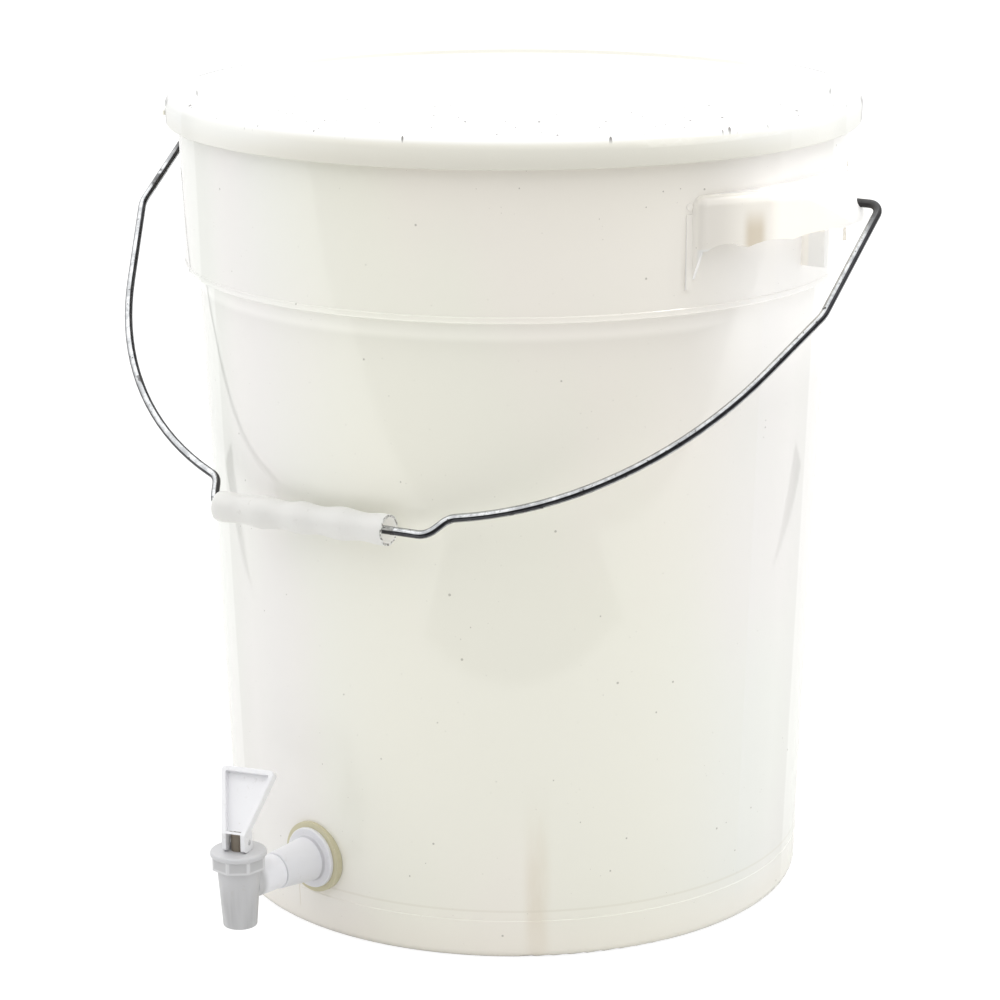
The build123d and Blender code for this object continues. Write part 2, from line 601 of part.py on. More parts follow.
def lever_place(shape):
    """Move a shape from the lever's own frame (pin on X, front towards -Y) to the tap."""
    return on_barrel(Pos(0, 0, PIN_HEIGHT) * Rot(0, 0, LEVER_SWIVEL) * shape)


def heel_point(angle):
    """Point (y, z) of the cam heel whose lowest height is reached when the lever tilts by angle."""
    reach = PIN_HEIGHT - BONNET_TOP - HEEL_GAP + CAM_RISE * angle
    forward = reach * sin(angle) + CAM_RISE * cos(angle)
    down = reach * cos(angle) - CAM_RISE * sin(angle)
    return (-forward, -down)


def tap_handle():
    """The lever: a two-pronged fork with cam heels, and a dished paddle that leans back."""
    heel = [heel_point(radians(LEVER_TRAVEL) * step / 6) for step in range(7)]
    front = heel[-1][0]
    lean = radians(LEVER_LEAN)
    back_top = (front + PADDLE_DEPTH * cos(lean) + 4 * sin(lean), SLOT_TOP - PADDLE_DEPTH * sin(lean) + 4 * cos(lean))
    cam = Spline(*heel)
    body = Polyline(heel[-1], (front, SLOT_TOP), (front + 3 * sin(lean), SLOT_TOP + 3 * cos(lean)), back_top,
                    (FORK_BACK, SLOT_TOP - 1.5), (FORK_BACK, heel[0][1]), heel[0])
    fork = extrude(Plane.YZ * make_face([cam, body]), FORK_HALF_WIDTH, both=True)
    plane = Plane(origin=(0, front, SLOT_TOP), x_dir=(1, 0, 0), z_dir=(0, -cos(lean), sin(lean)))
    foot, top, corner = PADDLE_FOOT_HALF_WIDTH, PADDLE_TOP_HALF_WIDTH, PADDLE_CORNER
    outline = FilletPolyline((-foot, 0), (foot, 0), (top, PADDLE_LENGTH), (-top, PADDLE_LENGTH),
                             radius=[0, 0, corner, corner], close=True)
    dish_foot, dish_top = foot - PADDLE_RIM + 0.3, top - PADDLE_RIM - 0.3
    dish = FilletPolyline((-dish_foot, PADDLE_FOOT_RIM), (dish_foot, PADDLE_FOOT_RIM),
                          (dish_top, PADDLE_LENGTH - PADDLE_RIM), (-dish_top, PADDLE_LENGTH - PADDLE_RIM),
                          radius=[0.6, 0.6, 0.8, 0.8], close=True)
    slab = extrude(plane * make_face(outline), -PADDLE_DEPTH)
    slab = fillet(slab.edges().filter_by(lambda edge: edge.center().Z > SLOT_TOP + PADDLE_FOOT_RIM), 0.6)
    pocket = extrude(plane * make_face(dish), -PADDLE_RECESS)
    slot = Pos(0, 0, SLOT_TOP - BIG / 16) * Box(2 * SLOT_HALF_WIDTH, BIG / 8, BIG / 8)
    hole = Rot(0, 90, 0) * rod(PIN_RADIUS + PIN_HOLE_CLEARANCE, -BIG / 8, BIG / 8)
    return lever_place(fork + slab - pocket - slot - hole)


def tap_handle_pin():
    """Cross pin through the stem and both prongs of the fork."""
    return lever_place(Rot(0, 90, 0) * rod(PIN_RADIUS, -FORK_HALF_WIDTH + 0.1, FORK_HALF_WIDTH - 0.1))


PIECES = {
    "bucket": bucket,
    "lid": lid,
    "lid_gasket": lid_gasket,
    "bail_wire": bail_wire,
    "bail_grip": bail_grip,
    "tap_shank": tap_shank,
    "outer_gasket": outer_gasket,
    "inner_gasket": inner_gasket,
    "lock_nut": lock_nut,
    "tap_body": tap_body,
    "tap_oring": tap_oring,
    "tap_bonnet": tap_bonnet,
    "tap_stem": tap_stem,
    "tap_seat_cup": tap_seat_cup,
    "tap_spring": tap_spring,
    "tap_handle": tap_handle,
    "tap_handle_pin": tap_handle_pin,
}

os.makedirs("parts", exist_ok=True)
for name, make in PIECES.items():
    export_step(make(), f"parts/{name}.step")
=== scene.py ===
import math

import bpy
from mathutils import Matrix, Vector

# Looks for a plastic fermenting bucket. The CAD model is the frame: it holds every shape and place.
# Units are metres, +Z is up, the tap faces -Y, and every material's pattern is in the row frame.
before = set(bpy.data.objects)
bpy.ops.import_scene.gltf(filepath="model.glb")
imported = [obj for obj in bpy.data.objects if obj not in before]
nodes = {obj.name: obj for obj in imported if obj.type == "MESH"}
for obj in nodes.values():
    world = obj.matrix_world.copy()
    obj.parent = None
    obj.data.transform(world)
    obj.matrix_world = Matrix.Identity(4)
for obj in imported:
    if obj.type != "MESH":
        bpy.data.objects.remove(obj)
bpy.context.view_layer.update()

# The camera stands 1.53 m from the pail's axis, 0.60 m up, and looks down by 15 degrees.
# Its azimuth is counted from -Y towards +X.
CAMERA_AZIMUTH = math.radians(42.0)
CAMERA_DISTANCE = 1.5346
CAMERA_HEIGHT = 0.6033
CAMERA_YAW = math.radians(0.28)
CAMERA_TILT = math.radians(74.90)
CAMERA_ROLL = math.radians(-0.229)
CAMERA_LENS = 112.29
SENSOR_WIDTH = 36.0

# Places on the pail. These azimuths are counted from +X towards +Y. A pair is the two ends of a soft edge.
STAIN_AZIMUTH = math.radians(-44.0)
STAIN_FADE = (0.10, 0.02)
STAIN_SHARE = 0.35
EAR_STAIN_AZIMUTH = math.radians(-9.5)
EAR_STAIN_FADE = (0.365, 0.352)
EAR_STAIN_SHARE = 0.8
EAR_START = (0.166, 0.168)
EAR_SHADE_TURN = 0.12
EAR_SHADE_SHARE = 0.55
EAR_GLOW_TURN = (0.01, 0.07)
EAR_GLOW_LOW = 0.02
EAR_GLOW_HIGH = 0.25
WEB_FADE = (0.346, 0.344)
BESIDE_EAR_AZIMUTH = math.radians(12)
BESIDE_EAR_HALF_TURN = math.radians(14)
BESIDE_EAR_SOFTNESS = math.radians(16)
BESIDE_EAR_HEIGHT = 0.335
BESIDE_EAR_GLOW = 0.15
LEDGE_HEIGHT = 0.3148
LEDGE_GLOW = 0.10
COLLAR_SHADE_RISE = (0.335, 0.385)
COLLAR_SHADE_SHARE = 0.15
MOULD_LINE_AZIMUTH = math.radians(-95.0)
MOULD_LINE_HEIGHT = 0.017
MOULD_SEAM_HEIGHT = 0.0245
FOOT_DARKER_FADE = (0.03, 0.0)
FOOT_DARKER_SHARE = 0.5

# Places on the lid.
LID_SHADE_FADE = (0.396, 0.386)
LID_EDGE = (0.1638, 0.1643)
LID_TAB_RADIUS = 0.1718
LID_TAB_GLOW = 0.45

# Places on the bail, its grip and the tap.
BAIL_FACE = (0.092, -0.656, 0.749)
BAIL_ENDS = (0.345, 0.36)
GRIP_MIDDLE = (0.02165, -0.16127, 0.21605)
GRIP_AXIS = (0.98575, 0.16642, 0.02442)
GRIP_RIGHT_END = 0.04035
GRIP_RIM = 0.0006
GRIP_BORE_GLOW = 0.22
BARREL_PLACE = -0.197
ARM_START = (-0.189, -0.184)
BARREL_END = (-0.186, -0.189)
BARREL_SHADE_FADE = (0.045, 0.030)
FACET_TURN = math.pi / 8
FACET_EDGE = (FACET_TURN - 0.10, FACET_TURN - 0.04)
BONNET_FLATS_TOP = (0.0545, 0.0540)
BONNET_LIP_TOP = (0.0500, 0.0493)
FLANGE_CORNER = -0.1516

# Colours, as linear red, green, blue and alpha.
WHITE = (1, 1, 1, 1)
# Painted light and shade set by the angle of view: the pail's tones face on and at the sides, a shade line
# for the inner wall, a light strip near each side and a dark line at the outline.
PAIL_PAINTED_LIGHT_FACE_ON = (0.89, 0.867, 0.785, 1)
PAIL_PAINTED_LIGHT_SIDE_ON = (0.84, 0.840, 0.82, 1)
PAINTED_INNER_WALL_SHADE = (0.72, 0.73, 0.70, 1)
PAINTED_EDGE_LIGHT = (0.86, 0.865, 0.845, 1)
PAINTED_OUTLINE_SHADE = (0.55, 0.55, 0.53, 1)
COLLAR_SHADE = (0.70, 0.675, 0.575, 1)
STAIN_BROWN = (0.66, 0.55, 0.40, 1)
EAR_BROWN = (0.60, 0.52, 0.38, 1)
# Painted shade on the ears at lower azimuths, and painted light on the webs under the ears.
EAR_SHADE = (0.64, 0.62, 0.57, 1)
EAR_WEB_PAINTED_LIGHT = (0.80, 0.81, 0.79, 1)
MOULD_MARKS = (0.62, 0.58, 0.47, 1)
WARM_TINT = (1.02, 1.0, 1.0, 1)
COOL_TINT = (1.0, 1.01, 0.985, 1)
FOOT_DARKER_TONE = (0.96, 0.91, 0.82, 1)
WALL_DIRT = (0.22, 0.20, 0.16, 1)
# Painted light and shade on the lid: its tones face on and at the sides, shade low on the skirt, a lighter
# top and a dark outline.
LID_PAINTED_LIGHT_FACE_ON = (0.80, 0.78, 0.69, 1)
LID_PAINTED_LIGHT_SIDE_ON = (0.90, 0.90, 0.865, 1)
LID_SHADE = (0.70, 0.68, 0.60, 1)
LID_TOP_PAINTED_LIGHT = (0.90, 0.90, 0.885, 1)
LID_DIRT = (0.12, 0.11, 0.10, 1)
LID_PAINTED_OUTLINE_SHADE = (0.35, 0.35, 0.35, 1)
# Painted glow on the lid's pull tab.
LID_GLOW = (1, 1, 0.98, 1)
SCUFFS = (0.5, 0.48, 0.44, 1)
# Painted light on the tap's arm, and painted shade with streaks low on its barrel.
ARM_PAINTED_LIGHT = (0.90, 0.90, 0.94, 1)
BARREL_PAINTED_SHADE_AND_STREAKS = (0.40, 0.40, 0.405, 1)
# Painted shade on the bonnet's flats, and painted highlights on its edges and lip.
BONNET_FLATS_PAINTED_SHADE = (0.46, 0.46, 0.465, 1)
BONNET_PAINTED_HIGHLIGHTS = (0.80, 0.80, 0.82, 1)
# Painted shadow in the corner of the shank's sleeve and flange.
CORNER_PAINTED_SHADOW = (0.35, 0.34, 0.36, 1)
GRIP_GLOW = (1, 0.97, 0.90, 1)
GRIP_GRIME = (0.06, 0.05, 0.04, 1)
WIRE_DARK = (0.40, 0.41, 0.42, 1)
WIRE_LIGHT = (0.66, 0.67, 0.68, 1)
# Painted shade at the wire's outline, and a painted dark reflection along it.
WIRE_PAINTED_EDGE_SHADE = (0.10, 0.10, 0.105, 1)
WIRE_PAINTED_DARK_REFLECTION = (0.025, 0.025, 0.03, 1)
WIRE_CORROSION = (0.020, 0.018, 0.018, 1)
STEEL_DARK = (0.55, 0.55, 0.56, 1)
STEEL_LIGHT = (0.75, 0.75, 0.76, 1)
FLOOR_LIT = (0.78, 0.78, 0.77, 1)
FLOOR_ROOM = (0.20, 0.20, 0.20, 1)
FLOOR_SEEN = (0.25, 0.25, 0.25, 1)

# The floor, and the dark room it mirrors. Places are to the camera's right and towards the camera.
FLOOR_RADIUS = 12.0
FLOOR_CORNERS = 96
FLOOR_SEEN_GLOW = 0.85
TABLE_END = 0.68
TABLE_NOTCH = (-0.28, 0.34)
TABLE_NOTCH_DEPTH = 0.20
TABLE_SLANT_START = 0.30
TABLE_SLANT = -0.5
ROOM_GAPS = (((0.60, -0.14), (0.73, -0.50)), ((-0.54, -0.17), (-0.71, -0.54)))
ROOM_GAP_HALF_WIDTH = 0.06


# ---------------------------------------------------------------- shader helpers
def set_inputs(tree, node, inputs):
    """Sets each named input of a node to a value, or links it to a socket."""
    for name, value in inputs.items():
        if isinstance(value, bpy.types.NodeSocket):
            tree.links.new(value, node.inputs[name])
        else:
            node.inputs[name].default_value = value


def add(tree, kind, inputs=None, **settings):
    """Adds a node, sets its properties, and sets or links its inputs. Returns the node."""
    node = tree.nodes.new(kind)
    for name, value in settings.items():
        setattr(node, name, value)
    set_inputs(tree, node, inputs or {})
    return node


def calc(tree, operation, first, second=0.0):
    """One math node. Returns its output socket."""
    return add(tree, "ShaderNodeMath", {0: first, 1: second}, operation=operation).outputs[0]


def times(tree, product, *others):
    """Product of two or more values or sockets."""
    for other in others:
        product = calc(tree, "MULTIPLY", product, other)
    return product


def largest(tree, most, *others):
    """Largest of two or more values or sockets."""
    for other in others:
        most = calc(tree, "MAXIMUM", most, other)
    return most


def minus(tree, first, second):
    """The first value or socket less the second."""
    return calc(tree, "SUBTRACT", first, second)


def vector_calc(tree, operation, inputs):
    """One vector math node. Returns its vector socket."""
    return add(tree, "ShaderNodeVectorMath", inputs, operation=operation).outputs[0]


def dot(tree, first, second):
    """Dot product of two vectors, as a socket."""
    return add(tree, "ShaderNodeVectorMath", {0: first, 1: second}, operation="DOT_PRODUCT").outputs["Value"]


def parts_of(tree, vector):
    """Sockets for the x, y and z of a vector."""
    return add(tree, "ShaderNodeSeparateXYZ", {"Vector": vector}).outputs


def radius_of(tree, x, y):
    """Distance from the pail's axis."""
    return calc(tree, "SQRT", calc(tree, "ADD", times(tree, x, x), times(tree, y, y)))


def smooth(tree, value, low, high, start=0.0, end=1.0):
    """Smooth step from start to end while value goes from low to high."""
    inputs = {"Value": value, "From Min": low, "From Max": high, "To Min": start, "To Max": end}
    return add(tree, "ShaderNodeMapRange", inputs, interpolation_type="SMOOTHSTEP").outputs[0]


def band(tree, value, centre, half_width, softness):
    """One inside centre plus or minus half_width, fading to nothing over softness."""
    distance = calc(tree, "ABSOLUTE", minus(tree, value, centre))
    return smooth(tree, distance, half_width, half_width + softness, 1.0, 0.0)


def colour_mix(tree, share, first, second, blend="MIX"):
    """Mixes two colours or colour sockets. Returns the colour socket."""
    node = add(tree, "ShaderNodeMix", {0: share, 6: first, 7: second}, data_type="RGBA", blend_type=blend)
    return node.outputs[2]


def value_mix(tree, share, first, second):
    """Mixes two values or sockets. Returns the socket."""
    return add(tree, "ShaderNodeMix", {0: share, 2: first, 3: second}, data_type="FLOAT").outputs[0]


def noise(tree, vector, scale, detail=2.0, roughness=0.5, stretch=None):
    """Noise from 0 to 1 in a stretched copy of the vector's space."""
    if stretch:
        vector = add(tree, "ShaderNodeMapping", {"Vector": vector, "Scale": stretch}).outputs[0]
    inputs = {"Vector": vector, "Scale": scale, "Detail": detail, "Roughness": roughness}
    return add(tree, "ShaderNodeTexNoise", inputs).outputs["Fac"]


def clouded(tree, vector, low, high):
    """A value that drifts between low and high in broad soft clouds, about 100 mm across."""
    return smooth(tree, noise(tree, vector, scale=10.0), 0.3, 0.7, low, high)


def specks(tree, vector, scale, size, amount):
    """Small round dots: size is in cells, and amount is the share of cells that hold one."""
    cells = add(tree, "ShaderNodeTexVoronoi", {"Vector": vector, "Scale": scale})
    picked = add(tree, "ShaderNodeSeparateColor", {"Color": cells.outputs["Color"]})
    chosen = calc(tree, "LESS_THAN", picked.outputs[0], amount)
    radius = times(tree, picked.outputs[1], size)
    inside = calc(tree, "LESS_THAN", cells.outputs["Distance"], radius)
    return times(tree, chosen, inside)


def new_material(name):
    """A material with a Principled surface. Returns the material, its tree and that node."""
    material = bpy.data.materials.new(name)
    material.use_nodes = True
    tree = material.node_tree
    return material, tree, tree.nodes["Principled BSDF"]


def place(tree):
    """Socket with the point's place in the row frame at rest, in metres."""
    return add(tree, "ShaderNodeTexCoord").outputs["Object"]


def camera_axes(tree):
    """Two sockets for a point's place to the camera's right and towards the camera, in metres."""
    here = place(tree)
    to_right = (math.cos(CAMERA_AZIMUTH), math.sin(CAMERA_AZIMUTH), 0)
    to_camera = (math.sin(CAMERA_AZIMUTH), -math.cos(CAMERA_AZIMUTH), 0)
    return [dot(tree, here, axis) for axis in (to_right, to_camera)]


def side_angle(tree):
    """Cosine between the surface and the line of sight, both laid flat: 1 face on, 0 at the outline."""
    geometry = add(tree, "ShaderNodeNewGeometry")
    flat = []
    for source in ("Incoming", "Normal"):
        level = vector_calc(tree, "MULTIPLY", {0: geometry.outputs[source], 1: (1, 1, 0)})
        flat.append(vector_calc(tree, "NORMALIZE", {0: level}))
    return calc(tree, "ABSOLUTE", dot(tree, flat[0], flat[1]))


def bumped(tree, height, distance):
    """Normal socket for a height in units of distance."""
    return add(tree, "ShaderNodeBump", {"Height": height, "Distance": distance, "Strength": 1.0}).outputs[0]


def recolour(material, share, shade):
    """Mixes a shade over a finished material's base colour where the share says so."""
    tree = material.node_tree
    surface = tree.nodes["Principled BSDF"]
    under = surface.inputs["Base Color"].links[0].from_socket
    set_inputs(tree, surface, {"Base Color": colour_mix(tree, share, under, shade)})


# ---------------------------------------------------------------- pail and lid
def hazy_plastic_painted_light(tree, face_on, side_on, here):
    """Milky thin-walled plastic, with painted light and shade set by the angle of view: one tone face on and
    another at the sides, a painted shade line where the inner wall shows, a painted light strip outside it at
    each side, and a painted dark outline.
    """
    across = side_angle(tree)
    cloud = noise(tree, here, scale=7.0, detail=3.0)
    colour = colour_mix(tree, times(tree, cloud, 0.3), face_on, side_on)
    colour = colour_mix(tree, smooth(tree, across, 0.95, 0.55), colour, side_on)
    inner_wall_shade = times(tree, smooth(tree, across, 0.46, 0.31), 0.45)
    colour = colour_mix(tree, inner_wall_shade, colour, PAINTED_INNER_WALL_SHADE)
    colour = colour_mix(tree, smooth(tree, across, 0.305, 0.285), colour, PAINTED_EDGE_LIGHT)
    outline = times(tree, smooth(tree, across, 0.10, 0.05), 0.5)
    return colour_mix(tree, outline, colour, PAINTED_OUTLINE_SHADE), across


def collar_shade(tree, colour, across, z):
    """A slightly darker tone towards the top of the collar, where the wall is seen face on."""
    shade = times(tree, smooth(tree, z, *COLLAR_SHADE_RISE), smooth(tree, across, 0.6, 0.95))
    return colour_mix(tree, times(tree, shade, COLLAR_SHADE_SHARE), colour, COLLAR_SHADE)


def drip_stain(tree, colour, here, azimuth, z):
    """A streaky brown stain low on the wall, strongest at the foot."""
    shape = band(tree, azimuth, STAIN_AZIMUTH, 0.012, 0.045)
    low = smooth(tree, z, *STAIN_FADE)
    streaks = noise(tree, here, scale=60.0, detail=4.0, roughness=0.6, stretch=(1, 1, 0.25))
    stain = times(tree, shape, low, smooth(tree, streaks, 0.35, 0.65, 0.35, 1.0), STAIN_SHARE)
    return colour_mix(tree, stain, colour, STAIN_BROWN)


def ear_tones(tree, colour, azimuth, z, off_wall, web):
    """A brown stain on the near ear, painted shade on ears at lower azimuths, and painted light on the webs
    under them.
    """
    stain = times(tree, band(tree, azimuth, EAR_STAIN_AZIMUTH, 0.012, 0.025),
                  smooth(tree, z, *EAR_STAIN_FADE), off_wall, EAR_STAIN_SHARE)
    colour = colour_mix(tree, stain, colour, EAR_BROWN)
    left = smooth(tree, azimuth, EAR_STAIN_AZIMUTH, EAR_STAIN_AZIMUTH - EAR_SHADE_TURN)
    colour = colour_mix(tree, times(tree, off_wall, left, EAR_SHADE_SHARE), colour, EAR_SHADE)
    return colour_mix(tree, web, colour, EAR_WEB_PAINTED_LIGHT)


def pail_glow(tree, azimuth, z, off_wall, web):
    """Painted glow standing in for light through the plastic: on ears past the stain's azimuth, under the
    ledge where it lightens the ledge's shade, and round the near ear.
    """
    start, end = (EAR_STAIN_AZIMUTH + turn for turn in EAR_GLOW_TURN)
    on_ear = smooth(tree, azimuth, start, end, EAR_GLOW_LOW, EAR_GLOW_HIGH)
    on_ear = times(tree, minus(tree, off_wall, web), on_ear)
    under_ledge = times(tree, band(tree, z, LEDGE_HEIGHT - 0.004, 0.003, 0.004), LEDGE_GLOW)
    round_ear = band(tree, azimuth, BESIDE_EAR_AZIMUTH, BESIDE_EAR_HALF_TURN, BESIDE_EAR_SOFTNESS)
    ear_height = band(tree, z, BESIDE_EAR_HEIGHT, 0.028, 0.050)
    beside_ear = times(tree, round_ear, ear_height, BESIDE_EAR_GLOW)
    return largest(tree, on_ear, largest(tree, under_ledge, beside_ear))


def mould_marks(tree, colour, azimuth, z):
    """A short upright mould line on the foot, and a fine level seam that starts at it."""
    line = times(tree, band(tree, azimuth, MOULD_LINE_AZIMUTH, 0.0015, 0.002),
                 band(tree, z, MOULD_LINE_HEIGHT, 0.007, 0.002), 0.5)
    seam = times(tree, band(tree, z, MOULD_SEAM_HEIGHT, 0.0003, 0.0005),
                 smooth(tree, azimuth, MOULD_LINE_AZIMUTH, MOULD_LINE_AZIMUTH + 0.02), 0.2)
    return colour_mix(tree, largest(tree, line, seam), colour, MOULD_MARKS)


def wall_wear(tree, colour, here, z):
    """Faint warm and cool mottling, a darker, warmer tone towards the foot, and dirt and dust specks."""
    tint = noise(tree, here, scale=9.0, stretch=(1, 1, 0.4))
    mottle = colour_mix(tree, smooth(tree, tint, 0.4, 0.6), WARM_TINT, COOL_TINT)
    colour = colour_mix(tree, 1.0, colour, mottle, "MULTIPLY")
    # Darker and warmer towards the foot.
    darkening = times(tree, smooth(tree, z, *FOOT_DARKER_FADE), FOOT_DARKER_SHARE)
    colour = colour_mix(tree, darkening, colour, FOOT_DARKER_TONE)
    dirt = specks(tree, here, scale=260.0, size=0.17, amount=0.06)
    dust = specks(tree, here, scale=700.0, size=0.18, amount=0.04)
    dots = largest(tree, times(tree, dirt, 0.5), times(tree, dust, 0.3))
    return colour_mix(tree, dots, colour, WALL_DIRT)


def pail_plastic():
    """Natural polyethylene with painted light and shade (tones by angle of view, shade on the collar and
    ears, light on the webs, a painted glow), a brown drip stain, a darker, warmer tone at the foot, scratches
    and dirt specks.
    """
    material, tree, surface = new_material("natural_polyethylene")
    here = place(tree)
    x, y, z = parts_of(tree, here)
    azimuth = calc(tree, "ARCTAN2", y, x)
    off_wall = smooth(tree, radius_of(tree, x, y), *EAR_START)
    web = times(tree, off_wall, smooth(tree, z, *WEB_FADE))

    colour, across = hazy_plastic_painted_light(tree, PAIL_PAINTED_LIGHT_FACE_ON, PAIL_PAINTED_LIGHT_SIDE_ON, here)
    colour = collar_shade(tree, colour, across, z)
    colour = drip_stain(tree, colour, here, azimuth, z)
    colour = ear_tones(tree, colour, azimuth, z, off_wall, web)
    colour = mould_marks(tree, colour, azimuth, z)
    colour = wall_wear(tree, colour, here, z)

    scratches = smooth(tree, noise(tree, here, scale=150.0, stretch=(1, 1, 0.05)), 0.62, 0.75)
    height = calc(tree, "ADD", times(tree, scratches, 0.5), noise(tree, here, scale=1200.0))
    set_inputs(tree, surface, {
        "Base Color": colour,
        "Roughness": clouded(tree, here, 0.025, 0.045),
        "Normal": bumped(tree, height, 0.000006),
        "Emission Strength": pail_glow(tree, azimuth, z, off_wall, web),
        "Emission Color": WHITE,
    })
    return material


def lid_dirt(tree, right, near, on_top):
    """Dirt specks that lie on the lid's near half, drawn out along the line of sight."""
    on_plane = add(tree, "ShaderNodeCombineXYZ", {0: right, 1: times(tree, near, 0.3)}).outputs[0]
    coarse = specks(tree, on_plane, scale=260.0, size=0.22, amount=0.25)
    fine = specks(tree, on_plane, scale=420.0, size=0.20, amount=0.45)
    front = times(tree, smooth(tree, near, -0.05, 0.10), on_top, 0.9)
    return times(tree, largest(tree, coarse, fine), front)


def lid_plastic():
    """The pail's plastic again, a little whiter, with a stippled top and dirt specks lying on it, painted
    shade low on the skirt, a painted lighter top, a painted dark outline at the far and end edges, and a
    painted glow on the pull tab.
    """
    material, tree, surface = new_material("white_polyethylene")
    here = place(tree)
    x, y, z = parts_of(tree, here)
    radius = radius_of(tree, x, y)
    right, near = camera_axes(tree)
    normal = add(tree, "ShaderNodeNewGeometry").outputs["Normal"]
    on_top = smooth(tree, parts_of(tree, normal)[2], 0.3, 0.8)

    colour, across = hazy_plastic_painted_light(tree, LID_PAINTED_LIGHT_FACE_ON, LID_PAINTED_LIGHT_SIDE_ON, here)
    low = times(tree, smooth(tree, z, *LID_SHADE_FADE), smooth(tree, across, 0.4, 0.9, 0.3, 0.75))
    colour = colour_mix(tree, low, colour, LID_SHADE)
    # Painted light: the lid is lighter where it faces up.
    colour = colour_mix(tree, on_top, colour, LID_TOP_PAINTED_LIGHT)
    colour = colour_mix(tree, lid_dirt(tree, right, near, on_top), colour, LID_DIRT)
    # Painted shade: a dark outline along the lid's far edge and at its ends.
    far_edge = times(tree, smooth(tree, radius, *LID_EDGE), smooth(tree, near, -0.02, -0.06))
    end_edge = times(tree, smooth(tree, across, 0.085, 0.05), minus(tree, 1.0, on_top))
    outline = times(tree, largest(tree, far_edge, end_edge), 0.8)
    colour = colour_mix(tree, outline, colour, LID_PAINTED_OUTLINE_SHADE)

    # Painted light: the pull tab glows.
    on_tab = calc(tree, "GREATER_THAN", radius, LID_TAB_RADIUS)
    set_inputs(tree, surface, {
        "Base Color": colour,
        "Roughness": clouded(tree, here, 0.36, 0.46),
        "Normal": bumped(tree, noise(tree, here, scale=900.0), 0.00005),
        "Emission Strength": times(tree, on_tab, LID_TAB_GLOW),
        "Emission Color": LID_GLOW,
    })
    return material


# ---------------------------------------------------------------- tap and grip
def moulded(name, light, dark, rough_low, rough_high):
    """Moulded plastic or rubber with faint clouding, scuffs and fine grain."""
    material, tree, surface = new_material(name)
    here = place(tree)
    colour = colour_mix(tree, noise(tree, here, scale=60.0, detail=3.0), light, dark)
    scuffs = noise(tree, here, scale=220.0, detail=5.0, roughness=0.65)
    marks = times(tree, smooth(tree, scuffs, 0.60, 0.72), 0.25)
    height = calc(tree, "ADD", times(tree, noise(tree, here, scale=1500.0), 0.25), scuffs)
    set_inputs(tree, surface, {
        "Base Color": colour_mix(tree, marks, colour, SCUFFS),
        "Roughness": smooth(tree, scuffs, 0.3, 0.7, rough_low, rough_high),
        "Normal": bumped(tree, height, 0.00006),
    })
    return material


def tap_arm_shade(material):
    """Painted light makes the tap's thin arm lighter than its barrel, and the barrel has painted shade with
    dark streaks in it low down.
    """
    tree = material.node_tree
    y, z = parts_of(tree, place(tree))[1:]
    recolour(material, times(tree, smooth(tree, y, *ARM_START), 0.95), ARM_PAINTED_LIGHT)
    streaks = noise(tree, place(tree), scale=300.0, stretch=(1, 1, 0.05))
    low = times(tree, smooth(tree, z, *BARREL_SHADE_FADE), smooth(tree, streaks, 0.3, 0.7, 0.15, 0.6),
                smooth(tree, y, *BARREL_END))
    recolour(material, low, BARREL_PAINTED_SHADE_AND_STREAKS)


def painted_facet_light_and_shade(material):
    """Painted shade on the bonnet's flats, with painted highlights on the upright edges between them and on
    the lip below.
    """
    tree = material.node_tree
    x, y, z = parts_of(tree, place(tree))
    facet = calc(tree, "PINGPONG", calc(tree, "ARCTAN2", minus(tree, y, BARREL_PLACE), x), FACET_TURN)
    on_flats = smooth(tree, z, *BONNET_FLATS_TOP)
    recolour(material, times(tree, on_flats, 0.5), BONNET_FLATS_PAINTED_SHADE)
    edge = times(tree, smooth(tree, facet, *FACET_EDGE), 0.5)
    lip = times(tree, smooth(tree, z, *BONNET_LIP_TOP), 0.5)
    recolour(material, times(tree, largest(tree, edge, lip), on_flats), BONNET_PAINTED_HIGHLIGHTS)


def flange_shade(material):
    """A painted line of shadow in the corner between the shank's sleeve and its flange."""
    tree = material.node_tree
    y = parts_of(tree, place(tree))[1]
    recolour(material, times(tree, band(tree, y, FLANGE_CORNER, 0.0005, 0.0006), 0.55), CORNER_PAINTED_SHADOW)


def subsurface_and_painted_bore_glow(material):
    """Thin white plastic with some subsurface light: a painted glow inside the bore, and a thin line of grime
    round its right end.
    """
    tree = material.node_tree
    from_middle = vector_calc(tree, "SUBTRACT", {0: place(tree), 1: GRIP_MIDDLE})
    along = dot(tree, from_middle, GRIP_AXIS)
    on_axis = vector_calc(tree, "SCALE", {0: GRIP_AXIS, "Scale": along})
    outward = vector_calc(tree, "SUBTRACT", {0: from_middle, 1: on_axis})
    normal = add(tree, "ShaderNodeTexCoord").outputs["Normal"]
    in_bore = calc(tree, "LESS_THAN", dot(tree, outward, normal), -0.003)
    darkening = noise(tree, place(tree), scale=900.0)
    rim = times(tree, smooth(tree, along, GRIP_RIGHT_END - GRIP_RIM, GRIP_RIGHT_END),
                smooth(tree, darkening, 0.45, 0.60))
    recolour(material, times(tree, rim, 0.85), GRIP_GRIME)
    # Painted light: the bore glows.
    set_inputs(tree, tree.nodes["Principled BSDF"], {
        "Emission Strength": times(tree, in_bore, GRIP_BORE_GLOW),
        "Emission Color": GRIP_GLOW,
        "Subsurface Weight": 0.6,
        "Subsurface Radius": (1, 1, 1),
        "Subsurface Scale": 0.004,
    })


